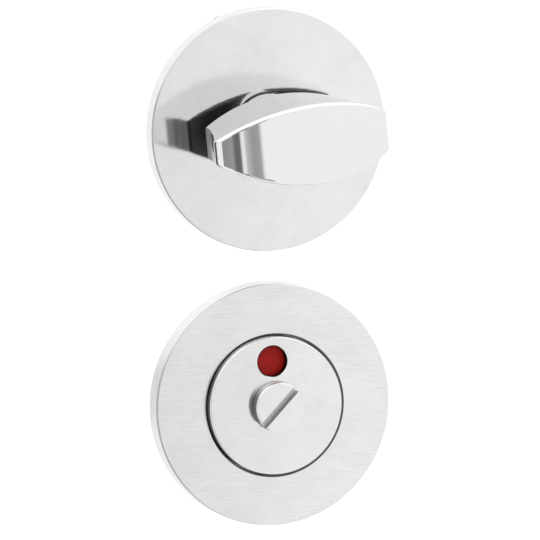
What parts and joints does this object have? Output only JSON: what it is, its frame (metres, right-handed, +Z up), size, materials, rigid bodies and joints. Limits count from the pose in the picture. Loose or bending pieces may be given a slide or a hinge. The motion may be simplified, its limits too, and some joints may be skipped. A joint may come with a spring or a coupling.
{
  "type": "bathroom thumb turn lock",
  "caption": "Round-rose bathroom turn and release set: a flared thumb turn on a square spindle, and a coin release with a red and green indicator window.",
  "frame": {"origin": "centre of the thumb turn half's bolt circle, on the face of the door", "axes": "+Z up the door; -Y out of the door towards the room, so both roses face -Y; +Y into the door along the spindle and bolts; +X to the right of someone facing the roses"},
  "size_m": [0.052, 0.0914, 0.1108],
  "materials": {
    "polished_rose": "polished stainless steel, faint smears",
    "polished_turn": "polished cast stainless steel, softened edges",
    "polished_disc": "polished stainless steel, faint lengthways brushing",
    "plate_steel": "pressed and zinc plated",
    "zinc_steel": "bright zinc plated",
    "black_screw": "black oxide",
    "white_bush": "moulded nylon",
    "spring_steel": "dark spring steel",
    "dark_wheel": "stamped and plated",
    "red_paint": "satin enamel",
    "green_paint": "satin enamel"
  },
  "bodies": {
    "door_fittings": {"turn_cover_rose": "polished_rose", "turn_base_plate": "plate_steel", "turn_through_bolts": "zinc_steel", "turn_bearing_bush": "white_bush", "release_cover_rose": "polished_rose", "release_base_plate": "plate_steel", "release_bolt_posts": "zinc_steel", "release_bearing_bush": "white_bush", "indicator_housing": "polished_disc", "housing_screws": "zinc_steel"},
    "turn": {"thumb_turn": "polished_turn", "turn_spindle": "zinc_steel", "spindle_grub_screw": "black_screw", "turn_spring_washer": "spring_steel", "turn_circlip": "spring_steel"},
    "release": {"coin_release": "polished_disc", "indicator_wheel": "dark_wheel", "red_indicator_segment": "red_paint", "green_indicator_segment": "green_paint", "release_spring_washer": "spring_steel", "release_circlip": "spring_steel"}
  },
  "joints": [
    {"name": "thumb_turn_hinge", "type": "hinge", "parent": "door_fittings", "child": "turn", "pos_m": [0, 0, 0], "axis": [0, -1, 0], "range_deg": [-5, 85]},
    {"name": "coin_release_hinge", "type": "hinge", "parent": "door_fittings", "child": "release", "pos_m": [0, 0, -0.0588], "axis": [0, -1, 0], "range_deg": [-85, 5]}
  ],
  "couplings": [
    {"joint": "coin_release_hinge", "follows": "thumb_turn_hinge", "ratio": -1}
  ]
}
